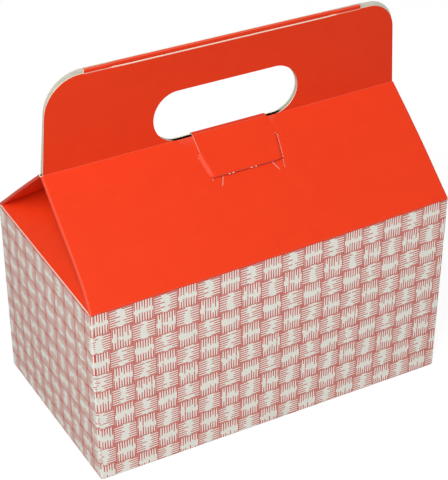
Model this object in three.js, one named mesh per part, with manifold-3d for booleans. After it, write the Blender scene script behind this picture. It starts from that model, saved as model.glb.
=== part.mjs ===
// A carry-out carton with a gable roof and a handle, folded from one sheet of paperboard.
// Millimetres. X runs along the ridge, -Y is the front, +Z is up, and the origin is the
// middle of the underside. The sheet is one solid: each strip of it is a ribbon of even
// thickness that follows its folds, and the strips join along their folds and glue flaps.
import * as THREE from 'three';
import { mergeVertices } from 'three/addons/utils/BufferGeometryUtils.js';
import Module from 'manifold-3d';

const wasm = await Module();
wasm.setup();

// Box
const length = 241;
const width = 132;
const wallHeight = 123.2;
const board = 0.6;
const cornerRadius = 1.2;
const creaseRadius = 0.9;

// Roof and gusset folds
const ridgeHeight = 176;
const layerGap = 0.4;
const cutEdgeInset = 1.5;

// Handle
const handleHeight = 59.2;
const handleTaper = 4.1;
const handleCornerRadius = 24;
const plyGap = 2.2;
const hemRise = 2.4;
const hemDepth = 14;
const hemCreaseLength = 17;
const slitWidth = 0.4;

// Hand hole, as wide as its length and rounded to half its height at each end
const holeLength = 98;
const holeHeight = 32;

// Lock tab and the two slits that hold its ears, measured down the roof from the ridge
const latchOffset = 2;
const tabNeckHalf = 25.4;
const tabReach = 28.6;
const tabLift = 1;
const slitTopHalf = 27.2;
const slitBottomHalf = 23.2;
const slitTop = 11.2;
const slitBottom = 34;
const slitHookLength = 3;
const slitHookRadius = 1.4;
const earReach = 7;
const earSlope = 3;
const slotClearance = 0.3;

// Bottom and side seam
const bottomOverlap = 16;
const dustFlapLength = 58;
const dustFlapTaper = 8;
const glueFlapWidth = 18;
const glueFlapInset = 6;
const seamWidth = 0.3;
const seamDepth = 0.35;
const flapLegHeight = 6;

// Facets
const foldSteps = 4;
const arcSteps = 12;
const holeSteps = 20;
const rodSides = 12;

// Values worked out from the sizes above
const halfLength = length / 2;
const halfWidth = width / 2;
const handleTop = ridgeHeight + handleHeight;
const handleFace = plyGap / 2 + board;
const roofAngle = Math.atan2(ridgeHeight - wallHeight, halfWidth - handleFace);
const roofSlant = (ridgeHeight - wallHeight) / Math.sin(roofAngle);
const turnRadius = board + layerGap / 2;
const overlap = 2 * creaseRadius + 1;
const cutReach = width / 4;
const neckRise = plyGap + 4 * tabLift;

const vec2 = (x, y) => new THREE.Vector2(x, y);
const vec3 = (x, y, z) => new THREE.Vector3(x, y, z);

// Solids from geometries and back

function solidFrom(geometry) {
  geometry.deleteAttribute('normal');
  geometry.deleteAttribute('uv');
  const merged = mergeVertices(geometry);
  return new wasm.Manifold(new wasm.Mesh({
    numProp: 3,
    vertProperties: new Float32Array(merged.attributes.position.array),
    triVerts: new Uint32Array(merged.index.array),
  }));
}

function geometryFrom(solid) {
  const { numProp, vertProperties, triVerts } = solid.getMesh();
  const geometry = new THREE.BufferGeometry();
  geometry.setAttribute('position', new THREE.BufferAttribute(new Float32Array(vertProperties), numProp));
  geometry.setIndex(new THREE.BufferAttribute(new Uint32Array(triVerts), 1));
  geometry.computeVertexNormals();
  return geometry;
}

const joinAll = (solids) => solids.reduce((sum, next) => sum.add(next));

// Outlines

function roundedCorner(before, corner, after, radius, steps) {
  const toBefore = before.clone().sub(corner).normalize();
  const toAfter = after.clone().sub(corner).normalize();
  const half = Math.acos(toBefore.dot(toAfter)) / 2;
  const middle = toBefore.clone().add(toAfter).setLength(radius / Math.sin(half)).add(corner);
  const start = toBefore.setLength(radius / Math.tan(half)).add(corner);
  const end = toAfter.setLength(radius / Math.tan(half)).add(corner);
  const from = Math.atan2(start.y - middle.y, start.x - middle.x);
  const to = Math.atan2(end.y - middle.y, end.x - middle.x);
  const sweep = Math.atan2(Math.sin(to - from), Math.cos(to - from));
  return Array.from({ length: steps + 1 }, (_, i) => {
    const angle = from + sweep * i / steps;
    return vec2(middle.x + radius * Math.cos(angle), middle.y + radius * Math.sin(angle));
  });
}

// An open path whose inner corners become round folds
function foldedPath(points, radius) {
  const inner = points.slice(1, -1).flatMap((corner, i) =>
    roundedCorner(points[i], corner, points[i + 2], radius, foldSteps));
  return [points[0], ...inner, points.at(-1)];
}

// The outline of a strip of even thickness along an open path
function ribbon(path, thickness) {
  const left = [];
  const right = [];
  path.forEach((point, i) => {
    const arriving = point.clone().sub(path[Math.max(i - 1, 0)]).normalize();
    const leaving = path[Math.min(i + 1, path.length - 1)].clone().sub(point).normalize();
    const along = arriving.clone().add(leaving).normalize();
    const straight = i === 0 || i === path.length - 1;
    const reach = thickness / 2 / (straight ? 1 : along.dot(arriving));
    const across = vec2(-along.y, along.x).multiplyScalar(reach);
    left.push(point.clone().add(across));
    right.unshift(point.clone().sub(across));
  });
  return new THREE.Shape([...left, ...right]);
}

// A rectangle about the origin with round corners
function roundedRectangle(halfX, halfY, radius) {
  const corners = [vec2(halfX, halfY), vec2(-halfX, halfY), vec2(-halfX, -halfY), vec2(halfX, -halfY)];
  return corners.flatMap((corner, i) =>
    roundedCorner(corners.at(i - 1), corner, corners[(i + 1) % 4], radius, foldSteps));
}

// Placing outlines in space: u and v carry the outline, and depth runs along u cross v

function plate(shape, origin, u, v, depth) {
  const geometry = new THREE.ExtrudeGeometry(shape, { depth, bevelEnabled: false, steps: 1 });
  geometry.applyMatrix4(new THREE.Matrix4().makeBasis(u, v, u.clone().cross(v)).setPosition(origin));
  return solidFrom(geometry);
}

const xAxis = vec3(1, 0, 0);
const yAxis = vec3(0, 1, 0);
const zAxis = vec3(0, 0, 1);

const alongX = (shape, from, to) => plate(shape, vec3(from, 0, 0), yAxis, zAxis, to - from);
const alongY = (shape, from, to) => plate(shape, vec3(0, to, 0), xAxis, zAxis, to - from);
const alongZ = (shape, from, to) => plate(shape, vec3(0, 0, from), xAxis, yAxis, to - from);

function block(low, high) {
  const size = high.clone().sub(low);
  const geometry = new THREE.BoxGeometry(size.x, size.y, size.z);
  geometry.translate(low.x + size.x / 2, low.y + size.y / 2, low.z + size.z / 2);
  return solidFrom(geometry);
}

// A round fold along a straight line
function rod(from, to, radius) {
  const span = to.clone().sub(from);
  const geometry = new THREE.CylinderGeometry(radius, radius, span.length(), rodSides);
  geometry.applyQuaternion(new THREE.Quaternion().setFromUnitVectors(yAxis, span.clone().normalize()));
  geometry.translate(...from.clone().add(to).multiplyScalar(0.5));
  return solidFrom(geometry);
}

// Points and plates on a roof panel. side is -1 at the front and 1 at the back, down is
// the distance from the ridge crease, and depth goes into the box from the outer face.

const roofIn = (side) => vec3(0, -side * Math.sin(roofAngle), -Math.cos(roofAngle));
const roofDown = (side) => vec3(0, side * Math.cos(roofAngle), -Math.sin(roofAngle));

function roofPoint(side, x, down, depth) {
  return vec3(x, side * handleFace, ridgeHeight)
    .addScaledVector(roofDown(side), down)
    .addScaledVector(roofIn(side), depth);
}

function onRoof(side, points, from, to) {
  const mirrored = points.map((point) => vec2(-side * point.x, point.y));
  const u = vec3(-side, 0, 0);
  return plate(new THREE.Shape(mirrored), roofPoint(side, 0, 0, from), u, roofDown(side), to - from);
}

// Mirrors an outline from the right half onto the half that end names
const mirrorX = (points, end) => points.map((point) => vec2(end * point.x, point.y));

// Walls: one tube of the four panels, with the glue flap inside the back right corner

function walls() {
  const outline = new THREE.Shape(roundedRectangle(halfLength, halfWidth, cornerRadius));
  const inner = roundedRectangle(halfLength - board, halfWidth - board, cornerRadius - board);
  outline.holes.push(new THREE.Path(inner));
  const tube = alongZ(outline, flapLegHeight / 2, wallHeight);
  const glueFlap = block(
    vec3(halfLength - 2 * board, halfWidth - board - glueFlapWidth, glueFlapInset),
    vec3(halfLength - board, halfWidth - board, wallHeight - glueFlapInset),
  );
  const seam = block(
    vec3(halfLength - board - seamWidth, halfWidth - seamDepth, 0),
    vec3(halfLength - board, halfWidth + board, wallHeight - overlap),
  );
  return tube.subtract(seam).add(glueFlap);
}

// Bottom: the front flap lies outside, the back flap steps up over its edge and is glued
// to it, and the two dust flaps lie on them inside the box

function bottom() {
  const low = board / 2;
  const wallY = halfWidth - board / 2;
  const wallX = halfLength - board / 2;
  const half = bottomOverlap / 2;
  const reach = halfLength - cutEdgeInset;
  const front = foldedPath([vec2(-wallY, flapLegHeight), vec2(-wallY, low), vec2(half, low)], creaseRadius);
  const back = [
    ...foldedPath([vec2(wallY, flapLegHeight), vec2(wallY, low), vec2(half + 3 * board, low)], creaseRadius),
    vec2(half + board, low + board),
    vec2(-half, low + board),
  ];
  const dust = foldedPath(
    [vec2(wallX, flapLegHeight), vec2(wallX, low + board), vec2(halfLength - dustFlapLength, low + board)],
    creaseRadius,
  );
  const dustFlaps = [-1, 1].map((end) => {
    const strip = alongY(ribbon(mirrorX(dust, end), board), -halfWidth + cutEdgeInset, halfWidth - cutEdgeInset);
    return strip.intersect(dustOutline(end));
  });
  return joinAll([
    alongX(ribbon(front, board), -reach, reach),
    alongX(ribbon(back, board), -reach, reach),
    ...dustFlaps,
  ]);
}

// A dust flap is narrower at its free edge
function dustOutline(end) {
  const outer = halfWidth;
  const tip = halfWidth - dustFlapTaper;
  const points = [
    vec2(halfLength, -outer),
    vec2(halfLength, outer),
    vec2(halfLength - dustFlapLength, tip),
    vec2(halfLength - dustFlapLength, -tip),
  ];
  return alongZ(new THREE.Shape(mirrorX(points, end)), 0, flapLegHeight);
}

// Roof panel: a ribbon from the top of the wall to the foot of the handle

function roofPanel(side) {
  const wallY = side * (halfWidth - board / 2);
  const plyY = side * (handleFace - board / 2);
  const shift = board / 2 * Math.tan((Math.PI / 2 - roofAngle) / 2);
  const path = foldedPath([
    vec2(wallY, wallHeight - overlap),
    vec2(wallY, wallHeight - shift),
    vec2(plyY, ridgeHeight - shift),
    vec2(plyY, ridgeHeight + overlap),
  ], creaseRadius);
  return alongX(ribbon(path, board), -halfLength + turnRadius, halfLength - turnRadius);
}

// End of the gable: the end panel leans in from the top of the short wall, and a gusset on
// each side of it lies folded flat under the roof panel

function gableEnd(end) {
  const printed = 2 * board + layerGap;
  const middle = board + layerGap + board / 2;
  const apexX = halfLength - halfWidth;
  const apexZ = roofPoint(-1, 0, 0, printed).z;
  const lean = Math.atan2(apexZ - wallHeight, halfWidth);
  const slant = (apexZ - wallHeight) / Math.sin(lean);
  const downAt = (z, depth) => (ridgeHeight - depth * Math.cos(roofAngle) - z) / Math.sin(roofAngle);
  const baseDown = downAt(wallHeight, printed);
  const baseHalf = Math.abs(roofPoint(-1, 0, downAt(wallHeight, middle), middle).y);
  const topHalf = Math.abs(roofPoint(-1, 0, downAt(apexZ, middle), middle).y);
  const panel = new THREE.Shape([
    vec2(-baseHalf, 0), vec2(baseHalf, 0), vec2(topHalf, slant), vec2(-topHalf, slant),
  ]);
  const up = vec3(-end * Math.cos(lean), 0, Math.sin(lean));
  const endPanel = plate(panel, vec3(end * halfLength, 0, wallHeight), vec3(0, -end, 0), up, board);
  const parts = [endPanel];
  for (const side of [-1, 1]) {
    const foldX = halfLength - turnRadius;
    const triangle = [vec2(foldX, 0), vec2(foldX, baseDown), vec2(apexX, 0)];
    parts.push(onRoof(side, mirrorX(triangle, end), board + layerGap, printed));
    parts.push(rod(
      roofPoint(side, end * foldX, 0, turnRadius),
      roofPoint(side, end * foldX, roofSlant, turnRadius),
      turnRadius,
    ));
    parts.push(rod(
      roofPoint(side, end * foldX, baseDown * (foldX - apexX) / halfWidth, middle),
      roofPoint(side, end * apexX, 0, middle),
      board / 2,
    ));
  }
  return joinAll(parts);
}

// Handle: a ply stands on each roof panel, and the front one ends lower, where its hem
// folds over and hangs between the two

function handleOutline(top) {
  const foot = ridgeHeight + creaseRadius;
  const topHalf = halfLength - handleTaper;
  const corners = [
    vec2(halfLength - turnRadius, foot),
    vec2(topHalf, top),
    vec2(-topHalf, top),
    vec2(-halfLength + turnRadius, foot),
  ];
  return new THREE.Shape([
    corners[0],
    ...roundedCorner(corners[0], corners[1], corners[2], handleCornerRadius, arcSteps),
    ...roundedCorner(corners[1], corners[2], corners[3], handleCornerRadius, arcSteps),
    corners[3],
  ]);
}

function handlePlies() {
  const front = alongY(handleOutline(handleTop - hemRise), -handleFace, -plyGap / 2);
  const back = alongY(handleOutline(handleTop), plyGap / 2, handleFace);
  return front.add(back);
}

function hem() {
  const half = halfLength - handleTaper - handleCornerRadius;
  const frontY = -plyGap / 2 - board / 2;
  const turn = (board + layerGap) / 2;
  const top = handleTop - board / 2;
  const path = [
    vec2(frontY, handleTop - hemRise - overlap),
    ...roundedCorner(vec2(frontY, 0), vec2(frontY, top), vec2(0, top), turn, foldSteps),
    ...roundedCorner(vec2(frontY, top), vec2(frontY + 2 * turn, top), vec2(frontY + 2 * turn, 0), turn, foldSteps)
      .slice(1),
    vec2(frontY + 2 * turn, handleTop - hemDepth),
  ];
  return alongX(ribbon(path, board), -half, half);
}

// The hem's crease is cut through between its two ends
function hemSlit() {
  const half = halfLength - handleTaper - handleCornerRadius - hemCreaseLength;
  const line = handleTop - hemRise;
  return block(
    vec3(-half, -handleFace - board, line - slitWidth / 2),
    vec3(half, -plyGap / 2 + layerGap / 2, line + slitWidth / 2),
  );
}

function handHole() {
  const radius = holeHeight / 2;
  const straight = holeLength / 2 - radius;
  const middle = ridgeHeight + radius;
  const outline = new THREE.Shape();
  outline.absarc(straight, middle, radius, -Math.PI / 2, Math.PI / 2, false);
  outline.absarc(-straight, middle, radius, Math.PI / 2, 3 * Math.PI / 2, false);
  return alongY(new THREE.Shape(outline.getPoints(holeSteps)), -cutReach, cutReach);
}

// Lock tab: cut from the hole in the back ply, it folds over the ridge and lies on the
// front roof panel, with an ear at each side tucked through a slit

const slitHalf = (down) =>
  slitTopHalf + (slitBottomHalf - slitTopHalf) * (down - slitTop) / (slitBottom - slitTop);

const atLatch = (points, end) => points.map((point) => vec2(latchOffset + end * point.x, point.y));

const heldFrom = slitTop + 2 * board;
const heldTo = tabReach - 2 * board;

function lockTab() {
  const lift = layerGap + board / 2;
  const backY = plyGap / 2 + board / 2;
  const crest = ridgeHeight + tabLift;
  const start = roofPoint(-1, 0, 0, -lift);
  const bend = roofPoint(-1, 0, (start.z - crest) / Math.sin(roofAngle), -lift);
  const tip = roofPoint(-1, 0, tabReach, -lift);
  const path = foldedPath([
    vec2(backY, ridgeHeight - board),
    vec2(backY, crest),
    vec2(bend.y, crest),
    vec2(tip.y, tip.z),
  ], board);
  const strip = alongX(ribbon(path, board), latchOffset - slitTopHalf, latchOffset + slitTopHalf);
  const outline = [-1, 1].flatMap((end) => {
    const half = [
      vec2(tabNeckHalf, -neckRise),
      vec2(tabNeckHalf, slitTop + board),
      vec2(slitHalf(heldFrom), heldFrom),
      vec2(slitHalf(tabReach), tabReach + board),
    ];
    return end > 0 ? atLatch(half, end).reverse() : atLatch(half, end);
  });
  const face = strip.intersect(onRoof(-1, outline, -cutReach, cutReach));
  return joinAll([face, ...[-1, 1].flatMap(ear)]);
}

// Each ear passes through its slit and spreads under the roof panel
function ear(end) {
  const path = atLatch([vec2(slitHalf(heldFrom), heldFrom), vec2(slitHalf(heldTo), heldTo)], end);
  const neck = onRoof(-1, ribbon(path, board).getPoints(), -layerGap - board, 2 * board + layerGap);
  const outline = [
    vec2(slitHalf(heldFrom), heldFrom),
    vec2(slitHalf(heldFrom) + earReach, heldFrom + earSlope),
    vec2(slitHalf(heldTo) + earReach, heldTo - earSlope),
    vec2(slitHalf(heldTo), heldTo),
  ];
  const spread = onRoof(-1, atLatch(outline, end), board + layerGap, 2 * board + layerGap);
  return [neck, spread];
}

function roofSlit(end) {
  const turn = vec2(slitTopHalf, slitTop);
  const start = vec2(slitTopHalf - slitHookLength, slitTop);
  const foot = vec2(slitBottomHalf, slitBottom);
  const line = [start, ...roundedCorner(start, turn, foot, slitHookRadius, foldSteps), foot];
  const held = [vec2(slitHalf(heldFrom), heldFrom), vec2(slitHalf(heldTo), heldTo)];
  const cut = (points, size) =>
    onRoof(-1, ribbon(atLatch(points, end), size).getPoints(), -board, board + layerGap / 2);
  return cut(line, slitWidth).add(cut(held, board + 2 * slotClearance));
}

function carton() {
  const sheet = joinAll([walls(), bottom(), roofPanel(-1), roofPanel(1), gableEnd(-1), gableEnd(1),
    handlePlies(), hem()]);
  const cuts = joinAll([handHole(), hemSlit(), roofSlit(-1), roofSlit(1)]);
  return sheet.subtract(cuts).add(lockTab());
}

const paperboard = new THREE.MeshStandardMaterial({ color: 0xd8472e, roughness: 0.55, metalness: 0 });

const object = new THREE.Group();
const sheet = new THREE.Mesh(geometryFrom(carton()), paperboard);
sheet.name = 'folded_carton';
object.add(sheet);

export default object;
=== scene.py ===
"""A folded carry-out carton with a gable roof and a handle: one sheet of printed paperboard.

Lengths inside this script are millimetres, and a mesh is scaled to metres when it is made.
Each panel of the sheet is built on its outer face and given the board's thickness at the end.
"""
import math
from bisect import bisect_right

import bmesh
import bpy
from mathutils import Matrix, Quaternion, Vector
from mathutils.geometry import delaunay_2d_cdt


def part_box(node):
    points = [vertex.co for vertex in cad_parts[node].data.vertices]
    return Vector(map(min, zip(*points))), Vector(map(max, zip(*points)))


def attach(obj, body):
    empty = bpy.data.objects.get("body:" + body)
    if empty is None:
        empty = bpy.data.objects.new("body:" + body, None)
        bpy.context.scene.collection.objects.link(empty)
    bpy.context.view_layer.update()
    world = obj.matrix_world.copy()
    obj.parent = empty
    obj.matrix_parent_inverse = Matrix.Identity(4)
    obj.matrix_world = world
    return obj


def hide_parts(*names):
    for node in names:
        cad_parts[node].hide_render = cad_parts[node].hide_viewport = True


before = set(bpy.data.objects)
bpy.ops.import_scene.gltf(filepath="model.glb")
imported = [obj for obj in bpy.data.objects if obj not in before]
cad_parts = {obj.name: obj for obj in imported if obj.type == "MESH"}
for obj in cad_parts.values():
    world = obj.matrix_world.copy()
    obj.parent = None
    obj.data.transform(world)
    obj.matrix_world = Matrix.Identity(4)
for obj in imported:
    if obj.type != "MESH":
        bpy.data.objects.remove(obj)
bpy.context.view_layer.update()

NODE = "folded_carton"
MM = 0.001
low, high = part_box(NODE)

# Driving sizes of the folded sheet
HALF_LENGTH = (high.x - low.x) / 2 / MM
HALF_WIDTH = (high.y - low.y) / 2 / MM
HANDLE_TOP = high.z / MM
WALL_TOP = 123.2
RIDGE = 176
BOARD = 0.6
PLY_GAP = 2.2
HANDLE_FACE = PLY_GAP / 2 + BOARD
TURN = 1.1
CREASE = 0.9
HANDLE_TAPER = 4.1
HANDLE_CORNER = 24
SEEN_CORNERS = (18, 23)
END_CREASE = 0.6
HEM_RISE = 2.4
HEM_DEPTH = 14
HEM_CREASE = 17
CUT_CRUMBLE = 0.5
HEM_HALF = HALF_LENGTH - HANDLE_TAPER - HANDLE_CORNER
CUT_HALF = HEM_HALF - HEM_CREASE
HOLE_LENGTH = 98
HOLE_HEIGHT = 32
BOTTOM_OVERLAP = 16
DUST_FLAP = 58
GLUE_FLAP = 18

# Lock tab and its slits, measured down the roof from the ridge and out from the latch's middle
LATCH_X = 2
TAB_NECK = 25.4
TAB_REACH = 28.6
TAB_CREST = 1.0
TAB_LIFT = 1.0
EAR_DEPTH = 1.1
EAR_REACH = 7
SLIT_TOP = Vector((27.2, 11.2))
SLIT_FOOT = Vector((23.2, 34))
SLIT_HOOK = 3
HELD_FROM = 12.2
HELD_TO = 28.2
TIP_CURL = 0.7
TIP_CURL_LENGTH = 2
NICKS = (-13, -10.4, 2, 5)
SCORE_OUT = 16.7
SCORE_END = 34.4

# Blank coordinates that keep a part clear of the marks on the front panel
TAB_ROW = 300
UNMARKED = (-1000, 0)

# The photographed carton is a little out of true: its front left top corner bulges down and
# outward, its right end is pulled up, its front wall's foot stands out, its left end leans
# out, and its handle rises to the left. Its handle's right corner is the tighter one
CORNER_SHIFT = Vector((-4.5, -1.0, -2.75))
END_SHIFT = Vector((1.0, -0.3, 2.0))
FOOT_LEFT = Vector((-1.4, -0.8, 0))
FOOT_RIGHT = Vector((-1.5, -3.3, 0))
LEFT_SHIFT = Vector((-1.8, 0, 0))
HANDLE_RISE = 1.3
PILLOW = 0.9
END_SAG = 1.6

ROOF_ANGLE = math.atan2(RIDGE - WALL_TOP, HALF_WIDTH - HANDLE_FACE)
ROOF_SLANT = (RIDGE - WALL_TOP) / math.sin(ROOF_ANGLE)
FACE_X = HALF_LENGTH - TURN
FOLD_STEPS = 5
ROW_STEP = 6
LAP = 0.04

PRINT, RED, TAB_RED, INNER, EDGE = 0, 1, 2, 3, 6


def spread(start, end, step):
    """Evenly spaced numbers from start to end, no further apart than step."""
    count = max(1, math.ceil(abs(end - start) / step))
    return [start + (end - start) * i / count for i in range(count + 1)]


def smooth(value):
    value = min(max(value, 0), 1)
    return value * value * (3 - 2 * value)


def round_corner(before, corner, after, radius, steps=FOLD_STEPS):
    """Points of the arc that rounds a corner of a path."""
    back, on = (before - corner).normalized(), (after - corner).normalized()
    half = back.angle(on) / 2
    middle = corner + (back + on).normalized() * radius / math.sin(half)
    start = corner + back * radius / math.tan(half) - middle
    end = corner + on * radius / math.tan(half) - middle
    angle = math.atan2(start.x * end.y - start.y * end.x, start.dot(end))
    turn = [Matrix.Rotation(angle * i / steps, 2) for i in range(steps + 1)]
    return [middle + rotation @ start for rotation in turn]


class Section:
    """A folded section of the sheet: straight runs with round folds, measured along itself."""

    def __init__(self, points, radius, crack_and_sheen=0.3, step=ROW_STEP):
        self.distance, self.place, self.crack_and_sheen = [], [], []
        self._put(points[0], 0)
        for before, corner, after in zip(points, points[1:], points[2:]):
            for i, place in enumerate(round_corner(before, corner, after, radius)):
                self._run(place if i == 0 else None, step)
                self._put(place, crack_and_sheen * math.sin(math.pi * i / FOLD_STEPS))
        self._run(points[-1], step)
        self._put(points[-1], 0)

    def _put(self, place, crack_and_sheen):
        if self.place and (place - self.place[-1]).length < 1e-6:
            return
        gone = (place - self.place[-1]).length + self.distance[-1] if self.place else 0
        self.distance.append(gone)
        self.place.append(place)
        self.crack_and_sheen.append(crack_and_sheen)

    def _run(self, end, step):
        if end is None:
            return
        start = self.place[-1]
        for part in spread(0, 1, step / max((end - start).length, step))[1:-1]:
            self._put(start.lerp(end, part), 0)

    def at(self, along):
        """The place, and the share of pale crack and painted fold highlight, at a distance along the
        section.
        """
        i = min(max(bisect_right(self.distance, along) - 1, 0), len(self.distance) - 2)
        span = self.distance[i + 1] - self.distance[i]
        part = (along - self.distance[i]) / span
        place = self.place[i] + (self.place[i + 1] - self.place[i]) * part
        return place, self.crack_and_sheen[i] + (self.crack_and_sheen[i + 1] - self.crack_and_sheen[i]) * min(max(part, 0), 1)


def roof_point(side, x, down, depth):
    """A point on a roof panel: side -1 is the front, and depth goes into the box."""
    run = down * math.cos(ROOF_ANGLE) - depth * math.sin(ROOF_ANGLE)
    drop = down * math.sin(ROOF_ANGLE) + depth * math.cos(ROOF_ANGLE)
    return Vector((x, side * (HANDLE_FACE + run), RIDGE - drop))


def settle(place):
    """Moves a point of the true carton to where the photographed one bulges."""
    left = min(max((HALF_LENGTH - place.x) / (2 * HALF_LENGTH), 0), 1)
    front = min(max((HALF_WIDTH - place.y) / (2 * HALF_WIDTH), 0), 1)
    if place.z <= WALL_TOP:
        rise = lift = place.z / WALL_TOP
        bow = math.sin(math.pi * rise)
    else:
        lift = min(1, (HANDLE_TOP - place.z) / (HANDLE_TOP - WALL_TOP) * 1.25)
        down = max((RIDGE - place.z) / (RIDGE - WALL_TOP), 0)
        rise = down ** 5
        bow = 0.5 * math.sin(math.pi * down)
    out_y = PILLOW * bow * math.sin(math.pi * left) * (place.y / HALF_WIDTH)
    out_x = PILLOW * bow * math.sin(math.pi * front) * (place.x / HALF_LENGTH) ** 3
    moved = CORNER_SHIFT * (left * front * rise) + END_SHIFT * ((1 - left) ** 3 * lift)
    moved += FOOT_RIGHT.lerp(FOOT_LEFT, left) * (front * max(1 - place.z / WALL_TOP, 0))
    moved += LEFT_SHIFT * (left ** 2 * lift * (1 - front * rise))
    moved.z += HANDLE_RISE * left * max((place.z - RIDGE) / (HANDLE_TOP - RIDGE), 0)
    return place + moved + Vector((out_x, out_y, 0))


class Sheet:
    """Collects the panels of the folded sheet in one mesh."""

    def __init__(self):
        self.bm = bmesh.new()
        self.blank = self.bm.verts.layers.float_vector.new("blank")
        # Per-vertex share of pale crack and painted fold highlight
        self.crack_and_sheen = self.bm.verts.layers.float.new("crack_and_sheen")

    def vertex(self, place, blank=(0, 0), crack_and_sheen=0.0):
        vert = self.bm.verts.new(settle(place))
        vert[self.blank] = Vector((blank[0], blank[1], 0))
        vert[self.crack_and_sheen] = crack_and_sheen
        return vert

    def faces(self, loops, material, outward):
        made = []
        for loop in loops:
            corners = [v for i, v in enumerate(loop) if (v.co - loop[i - 1].co).length > 1e-5]
            if len(set(corners)) > 2:
                made.append(self.bm.faces.new(corners))
        facing = Vector()
        for face in made:
            face.normal_update()
            face.material_index = material
            face.smooth = True
            facing += face.normal * face.calc_area()
        if facing.dot(outward) < 0:
            bmesh.ops.reverse_faces(self.bm, faces=made)
        return made

    def grid(self, rows, material, outward):
        """rows holds rows of (place, blank, wear)."""
        verts = [[self.vertex(*point) for point in row] for row in rows]
        loops = [
            [verts[i][j], verts[i][j + 1], verts[i + 1][j + 1], verts[i + 1][j]]
            for i in range(len(verts) - 1)
            for j in range(len(verts[0]) - 1)
        ]
        return self.faces(loops, material, outward)

    def panel(self, outline, holes, inner, fold, material, outward):
        """A flat outline with holes, triangulated through inner points and folded into place."""
        coords, edges = [], []
        for ring in [outline, *holes]:
            first = len(coords)
            coords += ring
            edges += [(first + i, first + (i + 1) % len(ring)) for i in range(len(ring))]
        rims = [(coords[a], coords[b]) for a, b in edges]
        coords += [point for point in inner if not near_any(point, rims)]
        flat, _, triangles, *_ = delaunay_2d_cdt(coords, edges, [], 1, 1e-5)
        kept = []
        for triangle in triangles:
            middle = sum((flat[i] for i in triangle), Vector((0, 0))) / 3
            if not any(inside(middle, hole) for hole in holes):
                kept.append(triangle)
        used = sorted({i for triangle in kept for i in triangle})
        verts = {i: self.vertex(*fold(flat[i])) for i in used}
        return self.faces([[verts[i] for i in triangle] for triangle in kept], material, outward)


def near_any(point, rims, clear=0.35):
    """Whether a point lies too close to one of the outline's edges to be worth having."""
    for a, b in rims:
        along = b - a
        part = min(max((point - a).dot(along) / max(along.length_squared, 1e-12), 0), 1)
        if (a + along * part - point).length < clear:
            return True
    return False


def inside(point, ring):
    """Whether a point lies inside a closed ring, by counting the edges to its right."""
    crossings = 0
    for a, b in zip(ring, ring[1:] + ring[:1]):
        if (a.y > point.y) != (b.y > point.y):
            crossings += point.x < a.x + (point.y - a.y) * (b.x - a.x) / (b.y - a.y)
    return crossings % 2 == 1


def slot(path, widths):
    """The outline of a cut along a path with a width at each point."""
    left, right = [], []
    for i, point in enumerate(path):
        along = (path[min(i + 1, len(path) - 1)] - path[max(i - 1, 0)]).normalized()
        across = Vector((-along.y, along.x)) * widths[i] / 2
        left.append(point + across)
        right.insert(0, point - across)
    return left + right


# Walls: an open tube that starts at the glue flap inside the back right corner

def wall_ring():
    """Points round the box with the distance that the print is laid out on."""
    x, y = HALF_LENGTH, HALF_WIDTH
    seam = BOARD + 0.3
    corners = [Vector((x - seam, y - GLUE_FLAP)), Vector((x - seam, y)), Vector((-x, y)),
               Vector((-x, -y)), Vector((x, -y)), Vector((x, y - 0.2))]
    return Section(corners, TURN, crack_and_sheen=0.12)


def add_walls(sheet):
    ring = wall_ring()
    front_middle = GLUE_FLAP + 3 * HALF_LENGTH + 2 * HALF_WIDTH - BOARD
    heights = spread(CREASE, WALL_TOP - CREASE, ROW_STEP)
    rows = []
    for height in heights:
        row = []
        for along, place, crack_and_sheen in zip(ring.distance, ring.place, ring.crack_and_sheen):
            corner = crack_and_sheen > 0 and height == heights[-1]
            top = WALL_TOP - 0.1 if corner else height
            row.append((Vector((place.x, place.y, top)), (along - front_middle, top), crack_and_sheen))
        rows.append(row)
    made = sheet.grid(rows, PRINT, Vector((0, 0, 0)))
    front = max(made, key=lambda face: -face.calc_center_median().y)
    if front.normal.y > 0:
        bmesh.ops.reverse_faces(sheet.bm, faces=made)


def add_bottom(sheet):
    half = BOTTOM_OVERLAP / 2
    front = [Vector((-HALF_WIDTH, CREASE + LAP)), Vector((-HALF_WIDTH, 0)), Vector((half, 0))]
    back = [Vector((HALF_WIDTH, CREASE + LAP)), Vector((HALF_WIDTH, 0)), Vector((half + 2, 0)),
            Vector((half + 0.8, BOARD)), Vector((-half, BOARD))]
    columns = spread(-HALF_LENGTH + 1.5, HALF_LENGTH - 1.5, ROW_STEP)
    for section in (Section(front, CREASE), Section(back, 0.4)):
        rows = [[(Vector((x, place.x, place.y)), (x, -along), crack_and_sheen) for x in columns]
                for along, place, crack_and_sheen in zip(section.distance, section.place, section.crack_and_sheen)]
        sheet.grid(rows, PRINT, Vector((0, 0, -1)))
    for end in (-1, 1):
        flap = Section([Vector((HALF_LENGTH - LAP, CREASE + BOARD)), Vector((HALF_LENGTH - LAP, BOARD)),
                        Vector((HALF_LENGTH - DUST_FLAP, BOARD))], CREASE)
        rows = []
        for along, place, crack_and_sheen in zip(flap.distance, flap.place, flap.crack_and_sheen):
            reach = HALF_WIDTH - 1.5 - 8 * along / DUST_FLAP
            rows.append([(Vector((end * place.x, y, place.y)), (0, 0), crack_and_sheen)
                         for y in spread(-reach, reach, 3 * ROW_STEP)])
        width = min(len(row) for row in rows)
        rows = [row[:width] for row in rows if len(row) == width]
        sheet.grid(rows, PRINT, Vector((0, 0, -1)))


# Roof and handle

def roof_section(side):
    """From the top of a long wall up the roof and the handle, as (y, z) on the outer face."""
    top = HANDLE_TOP - HEM_RISE if side < 0 else HANDLE_TOP
    points = [Vector((side * HALF_WIDTH, WALL_TOP - CREASE - LAP)), Vector((side * HALF_WIDTH, WALL_TOP)),
              Vector((side * HANDLE_FACE, RIDGE)), Vector((side * HANDLE_FACE, top))]
    # Its folds carry a faint pale painted highlight
    return Section(points, CREASE, crack_and_sheen=0.03)


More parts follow.
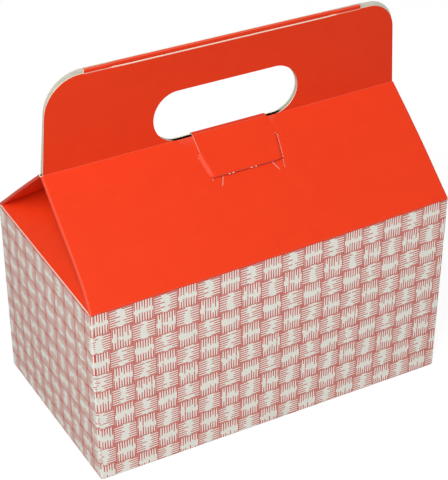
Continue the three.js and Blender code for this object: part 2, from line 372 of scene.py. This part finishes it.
def handle_outline(top, foot):
    """The handle's two sides and round top corners, from its right foot to its left one."""
    top_half = HALF_LENGTH - HANDLE_TAPER
    corners = [Vector((x, y)) for x, y in
               ((FACE_X, foot), (top_half, top), (-top_half, top), (-FACE_X, foot))]
    right = round_corner(corners[0], corners[1], corners[2], SEEN_CORNERS[0], 14)
    left = round_corner(corners[1], corners[2], corners[3], SEEN_CORNERS[1], 14)
    edge = [Vector((x, top)) for x in spread(right[-1].x, left[0].x, ROW_STEP)[1:-1]]
    return corners[:1] + right + edge + left + corners[3:]


def hand_hole(bottom, rows):
    """The hole's outline, with points on the rows of the fold that it cuts through."""
    radius = HOLE_HEIGHT / 2
    straight = HOLE_LENGTH / 2 - radius
    cut_rows = [row for row in rows if bottom + 0.05 < row < bottom + 2]
    angles = spread(-math.pi / 2, math.pi / 2, math.pi / 24)
    angles = sorted(angles + [math.asin((row - bottom - radius) / radius) for row in cut_rows])
    middle = Vector((straight, bottom + radius))
    right = [middle + Vector((math.cos(angle), math.sin(angle))) * radius for angle in angles]
    left = [Vector((-point.x, point.y)) for point in reversed(right)]
    foot = [Vector((x, bottom)) for x in spread(-straight, straight, 3)[1:-1]]
    return right + left + foot


def slit_half(down):
    return SLIT_TOP.x + (SLIT_FOOT.x - SLIT_TOP.x) * (down - SLIT_TOP.y) / (SLIT_FOOT.y - SLIT_TOP.y)


def roof_slit(end, down_to_along):
    """A hooked slit, wider where the tab's ear passes through it. The tab hides the left one's end."""
    foot = SLIT_FOOT.y if end > 0 else HELD_TO + 2
    start = Vector((SLIT_TOP.x - SLIT_HOOK, SLIT_TOP.y))
    path = [start] + round_corner(start, SLIT_TOP, SLIT_FOOT, 1.4)
    marks = [HELD_FROM, HELD_FROM + 0.6] + spread(HELD_FROM + 2, HELD_TO - 1, 3)
    marks += [HELD_TO - 0.4, HELD_TO + 0.2]
    path += [Vector((slit_half(mark), mark)) for mark in marks if mark > path[-1].y + 0.2]
    path += [Vector((slit_half(mark), mark)) for mark in spread(HELD_TO + 1, foot, 2.5)]
    widths = [1.5 if HELD_FROM + 0.3 < point.y < HELD_TO - 0.1 else 0.3 for point in path]
    outline = slot(path, widths)
    return [Vector((LATCH_X + end * point.x, down_to_along(point.y))) for point in outline]


def add_roof_and_handle(sheet, side):
    section = roof_section(side)
    wall_fold = next(i for i, place in enumerate(section.place) if place.y > WALL_TOP)
    ridge = max(i for i, place in enumerate(section.place) if place.y <= RIDGE)
    ridge_along = section.distance[ridge] + (RIDGE - section.place[ridge].y)
    top = section.distance[-1]
    foot = next(d for d, place in zip(section.distance, section.place) if place.y > RIDGE + 0.3)
    columns = spread(-FACE_X, FACE_X, ROW_STEP)
    rows = section.distance
    sides = [row for row in rows if 0 < row < foot]
    outline = [Vector((x, 0)) for x in columns]
    outline += [Vector((FACE_X, row)) for row in sides]
    outline += handle_outline(top, foot)
    outline += [Vector((-FACE_X, row)) for row in reversed(sides)]
    holes = [hand_hole(ridge_along, rows)]
    if side < 0:
        holes += [roof_slit(end, lambda down: ridge_along - down) for end in (-1, 1)]
    inner = [Vector((x, row)) for row in rows[1:-1] for x in columns[1:-1]]
    inner += [Vector((end * x, row)) for row in rows if abs(row - ridge_along) < 2
              for x in spread(28, 52, 1.5) for end in (-1, 1)]
    inner = [point for point in inner if point.y < foot or abs(point.x) < HALF_LENGTH - HANDLE_TAPER - 3]

    def fold(flat):
        place, crack_and_sheen = section.at(flat.y)
        if side < 0:
            lean = -0.45 * smooth((CUT_HALF - abs(flat.x)) / 8) * smooth((flat.y - top + 14) / 14)
        else:
            lean = -(0.8 + 0.7 * smooth((abs(flat.x) - HEM_HALF) / 8)) * smooth((flat.y - foot) / 30)
        blank = (flat.x, ridge_along - flat.y) if side < 0 else UNMARKED
        return Vector((flat.x, place.x + lean, place.y)), blank, crack_and_sheen

    sheet.panel(outline, holes, inner, fold, RED, Vector((0, side, 0.5)))


def add_hem(sheet):
    """The front ply's hem stands up behind its cut edge and folds down between the plies."""
    outer = -HANDLE_FACE
    inner = outer + 2 * BOARD + 0.5
    line = HANDLE_TOP - HEM_RISE
    points = [Vector((outer, line)), Vector((outer, HANDLE_TOP)), Vector((inner, HANDLE_TOP)),
              Vector((inner, HANDLE_TOP - HEM_DEPTH))]
    # The hem's folds carry a faint pale painted highlight
    section = Section(points, 0.8, crack_and_sheen=0.06, step=3)
    columns = spread(-HEM_HALF, HEM_HALF, 3)
    rows = []
    for along, place, crack_and_sheen in zip(section.distance, section.place, section.crack_and_sheen):
        row = []
        for x in columns:
            behind = 0.7 * smooth((CUT_HALF - abs(x)) / 2) * smooth(1 - along / 30)
            drop = 0.5 * smooth((CUT_HALF - abs(x)) / 2) if along == 0 else 0
            row.append((Vector((x, place.x + behind, place.y - drop)), (x, -60 - along), crack_and_sheen))
        rows.append(row)
    sheet.grid(rows, RED, Vector((0, 0, 1)))


# Gable ends

def add_gable_end(sheet, end):
    printed = 2 * TURN
    apex_x = HALF_LENGTH - HALF_WIDTH
    apex_z = roof_point(-1, 0, 0, printed).z
    lean = math.atan2(apex_z - WALL_TOP, HALF_WIDTH)
    crease_end = Vector((HALF_LENGTH - math.cos(lean) * END_CREASE, WALL_TOP + math.sin(lean) * END_CREASE))
    base_down = (RIDGE - printed * math.cos(ROOF_ANGLE) - crease_end.y) / math.sin(ROOF_ANGLE)
    downs = spread(0, base_down, 5)

    def fold_point(side, down):
        """A point on the valley fold between a gusset and the end panel."""
        place = roof_point(side, 0, down, printed)
        inward = (place.z - WALL_TOP) * HALF_WIDTH / (apex_z - WALL_TOP)
        return Vector((end * (HALF_LENGTH - inward), place.y, place.z))

    panel_rows = []
    for down in downs:
        front, back = fold_point(-1, down), fold_point(1, down)
        sag = END_SAG * math.sin(math.pi * down / base_down)
        row = []
        for i in range(17):
            part = i / 16
            dip = sag * math.sin(math.pi * part)
            row.append((front.lerp(back, part) - Vector((0, 0, dip)), (0, 0), 0))
        panel_rows.append(row)
    sheet.grid(panel_rows, RED, Vector((end, 0, 1)))
    add_end_crease(sheet, end, crease_end, abs(fold_point(-1, base_down).y))
    for side in (-1, 1):
        rows = []
        for down in downs:
            start = roof_point(side, end * FACE_X, down, printed)
            rows.append([(start.lerp(fold_point(side, down), i / 10), (0, 0), 0) for i in range(11)])
        sheet.grid(rows, RED, Vector((0, -side, -1)))
        add_turned_edge(sheet, end, side)


def add_turned_edge(sheet, end, side):
    """The round fold between a roof panel's end and the gusset under it."""
    rows = []
    for down in spread(0, ROOF_SLANT + 0.4, 5):
        middle = roof_point(side, end * FACE_X, down, TURN)
        outer = roof_point(side, end * FACE_X, down, 0) - middle
        row = []
        for i in range(9):
            angle = math.pi * i / 8
            place = middle + outer * math.cos(angle) + Vector((end * TURN * math.sin(angle), 0, 0))
            # Painted highlight: a faint pale line along the rounded fold, where the light catches it
            row.append((place, (end * FACE_X, down), 0.05 * math.sin(angle) ** 2))
        rows.append(row)
    sheet.grid(rows, RED, Vector((end, 0, 0)))


def add_end_crease(sheet, end, crease_end, top_half):
    """The fold at the top of a short wall, where the print's red edge cracks pale."""
    foot = Vector((HALF_LENGTH, WALL_TOP - CREASE - LAP))
    section = Section([foot, Vector((HALF_LENGTH, WALL_TOP)), crease_end], CREASE, crack_and_sheen=1.0, step=1.5)
    reach = HALF_WIDTH - TURN
    rows = []
    for along, place, crack_and_sheen in zip(section.distance, section.place, section.crack_and_sheen):
        half = reach + (top_half - reach) * along / section.distance[-1]
        across = [-half + half * i / 8 for i in range(17)]
        rows.append([(Vector((end * place.x, y, place.y)), (0, 0), crack_and_sheen) for y in across])
    sheet.grid(rows, RED, Vector((end, 0, 1)))


# Lock tab

def tab_section():
    """From the back ply's hole over the ridge and down the front roof panel."""
    start = roof_point(-1, 0, 0, -TAB_LIFT)
    crest = RIDGE + TAB_CREST
    bend_down = (start.z - crest) / math.sin(ROOF_ANGLE)
    bend = roof_point(-1, 0, bend_down, -TAB_LIFT)
    tip = roof_point(-1, 0, TAB_REACH, -TAB_LIFT)
    points = [Vector((HANDLE_FACE, RIDGE - 0.4)), Vector((HANDLE_FACE, crest)), Vector((bend.y, crest)),
              Vector((tip.y, tip.z))]
    # The tab's folds carry a faint pale painted highlight
    return Section(points, 0.9, crack_and_sheen=0.04, step=1.4)


def add_tab(sheet):
    section = tab_section()
    end = section.distance[-1]
    roof_in = roof_point(-1, 0, 0, 1) - roof_point(-1, 0, 0, 0)

    def along(down):
        return end - (TAB_REACH - down)

    half = [
        Vector((TAB_NECK, 0)),
        Vector((TAB_NECK, along(SLIT_TOP.y + 0.6))),
        Vector((slit_half(HELD_FROM + 0.6) + 0.6, along(HELD_FROM + 0.5))),
        Vector((slit_half(16) + EAR_REACH, along(16))),
        Vector((slit_half(25) + EAR_REACH, along(25))),
        Vector((slit_half(HELD_TO) + 0.4, along(HELD_TO - 0.5))),
        Vector((slit_half(TAB_REACH) - 0.4, end)),
    ]
    right = []
    for a, b in zip(half, half[1:]):
        right += [a.lerp(b, part) for part in spread(0, 1, 1.4 / max((b - a).length, 1.4))[:-1]]
    right.append(half[-1])
    tip = [Vector((x, end + lift)) for x, lift in tab_tip(half[-1].x)]
    left = [Vector((-point.x, point.y)) for point in reversed(right)]
    foot = [Vector((x, 0)) for x in spread(-TAB_NECK, TAB_NECK, 2)[1:-1]]
    outline = right + tip + left + foot
    columns = spread(-36, 36, 1.2)
    inner = [Vector((x, row)) for row in section.distance[1:-1] + [end - 1, end - 0.5] for x in columns]

    def fold(flat):
        place, crack_and_sheen = section.at(flat.y)
        down = TAB_REACH - (end - flat.y)
        point = Vector((LATCH_X + flat.x, place.x, place.y))
        if down > 1:
            past = abs(flat.x) - slit_half(down)
            dive = smooth((past + 1.2) / 2.4) * smooth((down - 9) / 3)
            curl = TIP_CURL * max(1 - (TAB_REACH - down) / TIP_CURL_LENGTH, 0) ** 2 * (1 - dive)
            point += roof_in * ((TAB_LIFT + EAR_DEPTH) * dive - curl)
        return point, (LATCH_X + flat.x, TAB_ROW + down), crack_and_sheen

    sheet.panel(outline, [], inner, fold, TAB_RED, Vector((0, -0.5, 1)))


def tab_tip(half):
    """The tab's free edge with the torn nicks that once held it, from right to left."""
    points = []
    for nick in sorted(NICKS, reverse=True):
        points += [(nick + 0.6, 0), (nick + 0.4, 0.5), (nick - 0.4, 0.5), (nick - 0.6, 0)]
    plain = [(x, 0) for x in spread(half, -half, 2)[1:-1] if all(abs(x - nick) > 1 for nick in NICKS)]
    return sorted(points + plain, key=lambda point: -point[0])


def apply_modifiers(piece):
    """Makes what the modifiers show the piece's own mesh."""
    bpy.context.view_layer.update()
    shown = piece.evaluated_get(bpy.context.evaluated_depsgraph_get())
    made = bpy.data.meshes.new_from_object(shown)
    piece.modifiers.clear()
    piece.data = made


def folded_sheet(materials):
    sheet = Sheet()
    add_walls(sheet)
    add_bottom(sheet)
    for side in (-1, 1):
        add_roof_and_handle(sheet, side)
    add_hem(sheet)
    for end in (-1, 1):
        add_gable_end(sheet, end)
    add_tab(sheet)
    bm = sheet.bm
    bmesh.ops.remove_doubles(bm, verts=bm.verts, dist=0.02)
    bmesh.ops.delete(bm, geom=[v for v in bm.verts if not v.link_faces], context="VERTS")
    bmesh.ops.scale(bm, vec=(MM, MM, MM), verts=bm.verts)
    mesh = bpy.data.meshes.new("folded_sheet")
    bm.to_mesh(mesh)
    bm.free()
    for material in materials:
        mesh.materials.append(material)
    piece = bpy.data.objects.new("folded_sheet", mesh)
    bpy.context.scene.collection.objects.link(piece)
    solidify = piece.modifiers.new("board", "SOLIDIFY")
    solidify.thickness = BOARD * MM
    solidify.offset = -1
    solidify.use_quality_normals = True
    solidify.material_offset = INNER
    solidify.material_offset_rim = EDGE
    apply_modifiers(piece)
    piece.data.set_sharp_from_angle(angle=math.radians(50))
    even = piece.modifiers.new("even_normals", "WEIGHTED_NORMAL")
    even.keep_sharp = True
    apply_modifiers(piece)
    return piece


# Materials

class Field:
    """A number worked out by a material's nodes, so that a pattern reads as a formula."""

    def __init__(self, tree, socket):
        self.tree = tree
        self.socket = socket

    def math(self, operation, *others, clamp=False):
        node = self.tree.nodes.new("ShaderNodeMath")
        node.operation = operation
        node.use_clamp = clamp
        for slot_in, value in zip(node.inputs, (self, *others)):
            if isinstance(value, Field):
                self.tree.links.new(value.socket, slot_in)
            else:
                slot_in.default_value = value
        return Field(self.tree, node.outputs[0])

    def __add__(self, other):
        return self.math("ADD", other)

    def __sub__(self, other):
        return self.math("SUBTRACT", other)

    def __mul__(self, other):
        return self.math("MULTIPLY", other)

    def __truediv__(self, other):
        return self.math("DIVIDE", other)

    def floor(self):
        return self.math("FLOOR")

    def abs(self):
        return self.math("ABSOLUTE")

    def larger(self, other):
        return self.math("MAXIMUM", other)

    def even(self):
        """1 on even whole numbers and 0 on odd ones."""
        return (self / 2 - (self / 2).floor()).math("LESS_THAN", 0.25)

    def under(self, limit, soft):
        """1 well under the limit, 0 well over it, and a ramp of that width between."""
        return (self - limit).math("MULTIPLY_ADD", -1 / soft, 0.5, clamp=True)

    def choose(self, one, zero):
        return zero + (one - zero) * self


def srgb(red, green, blue):
    def linear(value):
        value /= 255
        return value / 12.92 if value <= 0.04045 else ((value + 0.055) / 1.055) ** 2.4

    return (linear(red), linear(green), linear(blue), 1)


def start_material(name):
    material = bpy.data.materials.new(name)
    material.use_nodes = True
    tree = material.node_tree
    return material, tree, tree.nodes["Principled BSDF"]


def noise(tree, scale, detail=4, roughness=0.6):
    coords = tree.nodes.new("ShaderNodeTexCoord")
    node = tree.nodes.new("ShaderNodeTexNoise")
    node.inputs["Scale"].default_value = scale
    node.inputs["Detail"].default_value = detail
    node.inputs["Roughness"].default_value = roughness
    tree.links.new(coords.outputs["Object"], node.inputs["Vector"])
    return Field(tree, node.outputs[0])


def attribute(tree, name):
    node = tree.nodes.new("ShaderNodeAttribute")
    node.attribute_name = name
    return node


def mix_colour(tree, amount, start, end):
    node = tree.nodes.new("ShaderNodeMix")
    node.data_type = "RGBA"
    for value, name in ((start, "A"), (end, "B")):
        target = next(s for s in node.inputs if s.name == name and s.type == "RGBA")
        if isinstance(value, tuple):
            target.default_value = value
        else:
            tree.links.new(value, target)
    tree.links.new(amount.socket, node.inputs["Factor"])
    return next(s for s in node.outputs if s.type == "RGBA")


def bump(tree, shader, height, distance, strength=1.0):
    node = tree.nodes.new("ShaderNodeBump")
    node.inputs["Distance"].default_value = distance
    node.inputs["Strength"].default_value = strength
    tree.links.new(height.socket, node.inputs["Height"])
    tree.links.new(node.outputs[0], shader.inputs["Normal"])


def blank_coordinates(tree):
    node = tree.nodes.new("ShaderNodeSeparateXYZ")
    tree.links.new(attribute(tree, "blank").outputs["Vector"], node.inputs[0])
    return Field(tree, node.outputs[0]), Field(tree, node.outputs[1])


# The basket weave, in millimetres on the flat sheet
CELL_WIDE = 14.02
CELL_HIGH = WALL_TOP / 9
WEAVE_START = -111.8
OVERLAP = 0.5
STROKE = 0.76
BORDER = 0.5
STROKES = 8

# How far the print is out of register, on the front wall and then beyond its left fold
PRINT_FAN = 0.0183
PRINT_SLIP = 1.1
PRINT_DROP = 0.8
PRINT_SKEW = 0.0122
PRINT_SIDE = 0.15
END_DROP = 1.4
END_SIDE = 5.4


def print_material():
    """Pale board printed in red lines with a basket weave of over-and-under cells."""
    material, tree, shader = start_material("weave_print")
    flat_x, flat_z = blank_coordinates(tree)
    wobble = (noise(tree, 260, 2) - 0.5) * 0.25
    beyond = flat_x.math("LESS_THAN", -HALF_LENGTH)
    down = flat_z * (-1 / WALL_TOP) + 1
    drop = (flat_x * -PRINT_FAN + PRINT_SLIP) * down + PRINT_DROP
    across = flat_x - flat_z * PRINT_SKEW + PRINT_SIDE + beyond * END_SIDE + wobble
    up = flat_z + drop * (beyond * -1 + 1) + beyond * END_DROP + wobble
    column = ((across - WEAVE_START) / CELL_WIDE).floor()
    row = (up / CELL_HIGH).floor()
    x = across - WEAVE_START - (column + 0.5) * CELL_WIDE
    z = up - (row + 0.5) * CELL_HIGH
    lying = (column + row).even()
    run = lying.choose(x, z)
    cross = lying.choose(z, x)
    run_half = lying.math("MULTIPLY_ADD", (CELL_WIDE - CELL_HIGH) / 2, CELL_HIGH / 2)
    cross_half = lying.math("MULTIPLY_ADD", (CELL_HIGH - CELL_WIDE) / 2, CELL_WIDE / 2) - OVERLAP
    pitch = cross_half * 2 / STROKES
    place = (cross + cross_half) / pitch
    index = place.floor()
    off_line = (place - index - 0.5).abs() * pitch
    length = stroke_length(tree, index, run, column, row) * run_half
    reach = run_half - run.abs()
    taper = (reach / length).math("MULTIPLY_ADD", -0.3, 1, clamp=True)
    strokes = (off_line / taper).under(STROKE / 2, 0.12) * reach.under(length, 0.3)
    inside = cross.abs().under(cross_half, 0.02)
    border = (cross.abs() - cross_half).abs().under(BORDER / 2, 0.14)
    other_half = run_half - OVERLAP
    other_pitch = other_half * 2 / STROKES
    side = (run + other_half) / other_pitch
    side_line = (side - side.floor() - 0.5).abs() * other_pitch
    margin = side_line.under(STROKE / 2, 0.12) * (inside * -1 + 1)
    knot = cross.abs().math("GREATER_THAN", cross_half) * run.abs().math("GREATER_THAN", run_half - OVERLAP)
    ink = (strokes * inside).larger(border).larger(margin).larger(knot)
    fade = noise(tree, 900, 3, 0.7).math("MULTIPLY_ADD", 0.2, 0.87, clamp=True)
    mottle = noise(tree, 120, 5)
    paper = mix_colour(tree, mottle, srgb(239, 238, 227), srgb(247, 245, 236))
    red = mix_colour(tree, noise(tree, 500, 2), srgb(196, 44, 24), srgb(216, 58, 34))
    tree.links.new(mix_colour(tree, ink * fade, paper, red), shader.inputs["Base Color"])
    fibre = noise(tree, 1400, 6, 0.7)
    rough = fibre.math("MULTIPLY_ADD", 0.15, 0.5)
    tree.links.new(rough.socket, shader.inputs["Roughness"])
    shader.inputs["Specular IOR Level"].default_value = 0.15
    bump(tree, shader, fibre + mottle * 1.5, 0.00006)
    return material


def stroke_length(tree, index, run, column, row):
    """How far each stroke reaches in, as a share of half the cell: uneven, as if drawn by hand."""
    side = run.math("GREATER_THAN", 0)
    joined = tree.nodes.new("ShaderNodeCombineXYZ")
    seeds = (index * 1.37 + side * 31.7, (row * 0.5).floor() * 3.1, column.even() * 5.3)
    for value, target in zip(seeds, joined.inputs):
        tree.links.new(value.socket, target)
    white = tree.nodes.new("ShaderNodeTexWhiteNoise")
    tree.links.new(joined.outputs[0], white.inputs["Vector"])
    chance = Field(tree, white.outputs["Value"])
    every_other = index.even()
    return chance * 0.45 + every_other * 0.14 + 0.45


def red_material():
    """Solid red coat, with the score lines by the slits, pale cracked lines on the short walls' top
    creases, and a faint painted highlight in pale along the other rounded folds.
    """
    material, tree, shader = start_material("red_coat")
    across, down = blank_coordinates(tree)
    crack_and_sheen = Field(tree, attribute(tree, "crack_and_sheen").outputs["Fac"])
    mottle = noise(tree, 90, 5)
    fibre = noise(tree, 1400, 6, 0.7)
    coat = mix_colour(tree, mottle, srgb(230, 56, 20), srgb(238, 62, 24))
    score = score_lines(across, down)
    # Torn coat along the cut, with a painted highlight where the hem's crease goes on
    torn = cut_tear_and_crease_highlight(across, down)
    # Pale on the folds: a cracked line that shows the board on a short wall's top crease, and a faint
    # painted highlight on the other rounded folds
    crack_and_fold_sheen = (crack_and_sheen * (fibre * 0.8 + 0.6)).math("MULTIPLY", 1.3, clamp=True)
    pale = crack_and_fold_sheen.larger(score * 0.28).larger(torn)
    tree.links.new(mix_colour(tree, pale, coat, srgb(250, 234, 216)), shader.inputs["Base Color"])
    rough = fibre.math("MULTIPLY_ADD", 0.14, 0.36)
    tree.links.new(rough.socket, shader.inputs["Roughness"])
    shader.inputs["Specular IOR Level"].default_value = 0.3
    shader.inputs["Specular Tint"].default_value = (1, 0.7, 0.6, 1)
    bump(tree, shader, fibre + mottle * 2 + score * 3, 0.00005)
    return material


def cut_tear_and_crease_highlight(across, down):
    """The coat is torn back from the cut below the hem; where its crease goes on past the cut, a
    half-strength pale line is a painted highlight on the rolled fold.
    """
    line = (down + HANDLE_TOP - HEM_RISE - RIDGE).abs().under(CUT_CRUMBLE, 0.15)
    out = across.abs()
    # 0.95 along the torn cut, and 0.5 as a painted highlight where the crease goes on
    return line * out.under(HEM_HALF, 1) * out.under(CUT_HALF, 1).math("MULTIPLY_ADD", 0.45, 0.5)


def score_lines(across, down):
    """Short scores that let the card beside each slit give, from under the tab to the slit's foot."""
    out = (across - LATCH_X).abs()
    line = (out - SCORE_OUT - (down - TAB_REACH) * 0.5).abs().under(0.35, 0.3)
    return line * down.under(SCORE_END, 0.6) * (down * -1).under(-TAB_REACH, 0.6)


def inner_material():
    """The bare inner face of the board."""
    material, tree, shader = start_material("bare_board")
    mottle = noise(tree, 200, 6)
    fibre = noise(tree, 1600, 6, 0.75)
    face = mix_colour(tree, mottle, srgb(206, 203, 192), srgb(224, 221, 210))
    tree.links.new(face, shader.inputs["Base Color"])
    tree.links.new(fibre.math("MULTIPLY_ADD", 0.1, 0.75).socket, shader.inputs["Roughness"])
    bump(tree, shader, fibre, 0.00008)
    return material


def edge_material(name, tip_shade_painted=False):
    """The cream core that shows where the board is cut. The tab's tip has painted shade: its cut edge is
    coloured dark pinkish red for its shade and the red light the roof throws on it, except for its torn
    nicks, which stay cream.
    """
    material, tree, shader = start_material(name)
    grain = noise(tree, 1800, 4, 0.8)
    face = mix_colour(tree, grain, srgb(226, 208, 178), srgb(252, 246, 228))
    if tip_shade_painted:
        across, down = blank_coordinates(tree)
        torn = down.under(TAB_ROW + TAB_REACH - 1, 0.5)
        for nick in NICKS:
            torn = torn.larger((across - (LATCH_X + nick)).abs().under(0.7, 0.4))
        # Painted shade and red bounce light on the tab tip's cut edge
        tip_shade_colour = mix_colour(tree, grain, srgb(206, 62, 54), srgb(232, 104, 90))
        face = mix_colour(tree, torn, tip_shade_colour, face)
    tree.links.new(face, shader.inputs["Base Color"])
    tree.links.new(grain.math("MULTIPLY_ADD", 0.1, 0.8).socket, shader.inputs["Roughness"])
    bump(tree, shader, grain, 0.00008)
    return material


# Stage

CAMERA_PLACE = Vector((-434.95, -745.18, 640.3))
CAMERA_AZIMUTH = 30.261
CAMERA_ELEVATION = 32.294
CAMERA_ROLL = 0.595
FOCAL_PIXELS = 1630
FRAME_LONG_SIDE = 480
LIGHT_FROM = Vector((-0.49, -0.53, 0.70))
LIGHT_DISTANCE = 1.7
LIGHT_LEVEL = 0.87
WORLD_LEVEL = 0.2
ZENITH_LEVEL = 0.43
FLOOR_GREY = 0.44
FLOOR_GLOW = 1.43
GLOW_SHARE = 0.62


def add_camera():
    azimuth, elevation = math.radians(CAMERA_AZIMUTH), math.radians(CAMERA_ELEVATION)
    forward = Vector((math.sin(azimuth) * math.cos(elevation), math.cos(azimuth) * math.cos(elevation),
                      -math.sin(elevation)))
    level = forward.cross(Vector((0, 0, 1))).normalized()
    right = Quaternion(forward, -math.radians(CAMERA_ROLL)) @ level
    up = right.cross(forward)
    data = bpy.data.cameras.new("camera")
    data.sensor_width = 36
    data.lens = FOCAL_PIXELS * data.sensor_width / FRAME_LONG_SIDE
    data.clip_end = 50
    camera = bpy.data.objects.new("camera", data)
    turn = Matrix((right, up, -forward)).transposed().to_4x4()
    camera.matrix_world = Matrix.Translation(CAMERA_PLACE * MM) @ turn
    bpy.context.scene.collection.objects.link(camera)
    bpy.context.scene.camera = camera


def seen_directly(tree):
    """1 for what the camera sees and 0 for what only lights the scene."""
    path = tree.nodes.new("ShaderNodeLightPath")
    camera_ray = Field(tree, path.outputs["Is Camera Ray"])
    return camera_ray.larger(Field(tree, path.outputs["Is Transmission Ray"]))


def add_lights():
    data = bpy.data.lights.new("key", "AREA")
    data.shape = "DISK"
    data.size = 0.9
    data.energy = math.pi ** 2 * LIGHT_LEVEL * LIGHT_DISTANCE ** 2
    key = bpy.data.objects.new("key", data)
    aim = Vector((0, 0, 0.12))
    key.location = aim + LIGHT_FROM.normalized() * LIGHT_DISTANCE
    key.rotation_euler = (key.location - aim).to_track_quat("Z", "Y").to_euler()
    bpy.context.scene.collection.objects.link(key)
    world = bpy.data.worlds.new("studio")
    world.use_nodes = True
    bpy.context.scene.world = world
    tree = world.node_tree
    background = tree.nodes["Background"]
    split = tree.nodes.new("ShaderNodeSeparateXYZ")
    tree.links.new(tree.nodes.new("ShaderNodeTexCoord").outputs["Generated"], split.inputs[0])
    height = Field(tree, split.outputs[2]).larger(0)
    level = height.math("MULTIPLY_ADD", ZENITH_LEVEL - WORLD_LEVEL, WORLD_LEVEL)
    strength = seen_directly(tree).larger(level)
    tree.links.new(strength.socket, background.inputs["Strength"])
    background.inputs["Color"].default_value = (1, 1, 1, 1)


def add_floor():
    mesh = bpy.data.meshes.new("floor")
    corners = [(-4, -4, 0), (4, -4, 0), (4, 4, 0), (-4, 4, 0)]
    mesh.from_pydata(corners, [], [(0, 1, 2, 3)])
    floor = bpy.data.objects.new("floor", mesh)
    bpy.context.scene.collection.objects.link(floor)
    material, tree, shader = start_material("pale_floor")
    shader.inputs["Base Color"].default_value = (FLOOR_GREY, FLOOR_GREY, FLOOR_GREY, 1)
    shader.inputs["Roughness"].default_value = 0.9
    glow = tree.nodes.new("ShaderNodeEmission")
    glow.inputs["Strength"].default_value = FLOOR_GLOW
    mixed = tree.nodes.new("ShaderNodeMixShader")
    tree.links.new((seen_directly(tree) * GLOW_SHARE).socket, mixed.inputs[0])
    tree.links.new(shader.outputs[0], mixed.inputs[1])
    tree.links.new(glow.outputs[0], mixed.inputs[2])
    tree.links.new(mixed.outputs[0], tree.nodes["Material Output"].inputs["Surface"])
    mesh.materials.append(material)


add_camera()
add_lights()
add_floor()
red, bare, cut = red_material(), inner_material(), edge_material("cut_edge")
# The cut-edge material with painted shade on the tab's tip
tip_shade_painted = edge_material("tip_shade_painted_edge", tip_shade_painted=True)
carton = folded_sheet([print_material(), red, red, bare, bare, bare, cut, cut, tip_shade_painted])
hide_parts(NODE)
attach(carton, "root")

bpy.context.scene.view_settings.view_transform = "Standard"
